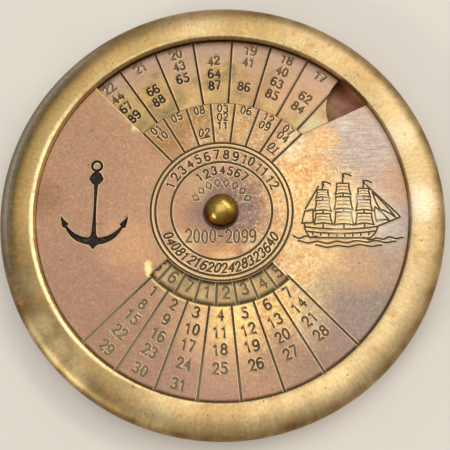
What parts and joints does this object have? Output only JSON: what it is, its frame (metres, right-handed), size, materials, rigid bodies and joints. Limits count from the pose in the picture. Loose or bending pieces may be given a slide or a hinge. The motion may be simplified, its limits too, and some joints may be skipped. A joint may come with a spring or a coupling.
{
  "type": "pocket perpetual calendar",
  "caption": "Round brass pocket calendar: a dial plate with a year window and a weekday window over a numbered disc, turned by a fingertip in its notch.",
  "frame": {"origin": "centre of the case's foot, on the surface that it lies on", "axes": "+Z out of the dial along the rivet, +Y towards the middle of the year window, +X to the reader's right"},
  "size_m": [0.0762, 0.0762, 0.0074],
  "materials": {
    "case_brass": "antique brass, turned and brushed, brown patina at the outer edge",
    "back_brass": "antique brass sheet, turned",
    "dial_bronze": "copper-toned antique brass sheet, engraved and darkened",
    "disc_brass": "tan antique brass sheet, engraved",
    "rivet_brass": "polished olive brass",
    "bush_brass": "plain turned brass",
    "washer_bronze": "rolled phosphor bronze"
  },
  "bodies": {
    "case": {"case_rim": "case_brass", "back_plate": "back_brass", "dial_plate": "dial_bronze", "pivot_rivet": "rivet_brass", "pivot_bush": "bush_brass", "thrust_washer": "washer_bronze", "spring_washer": "washer_bronze", "tail_washer": "back_brass"},
    "year_disc": {"year_disc": "disc_brass"}
  },
  "joints": [
    {"name": "year_disc_turn", "type": "hinge", "parent": "case", "child": "year_disc", "pos_m": [0, 0, 0.00355], "axis": [0, 0, 1], "continuous": true}
  ]
}
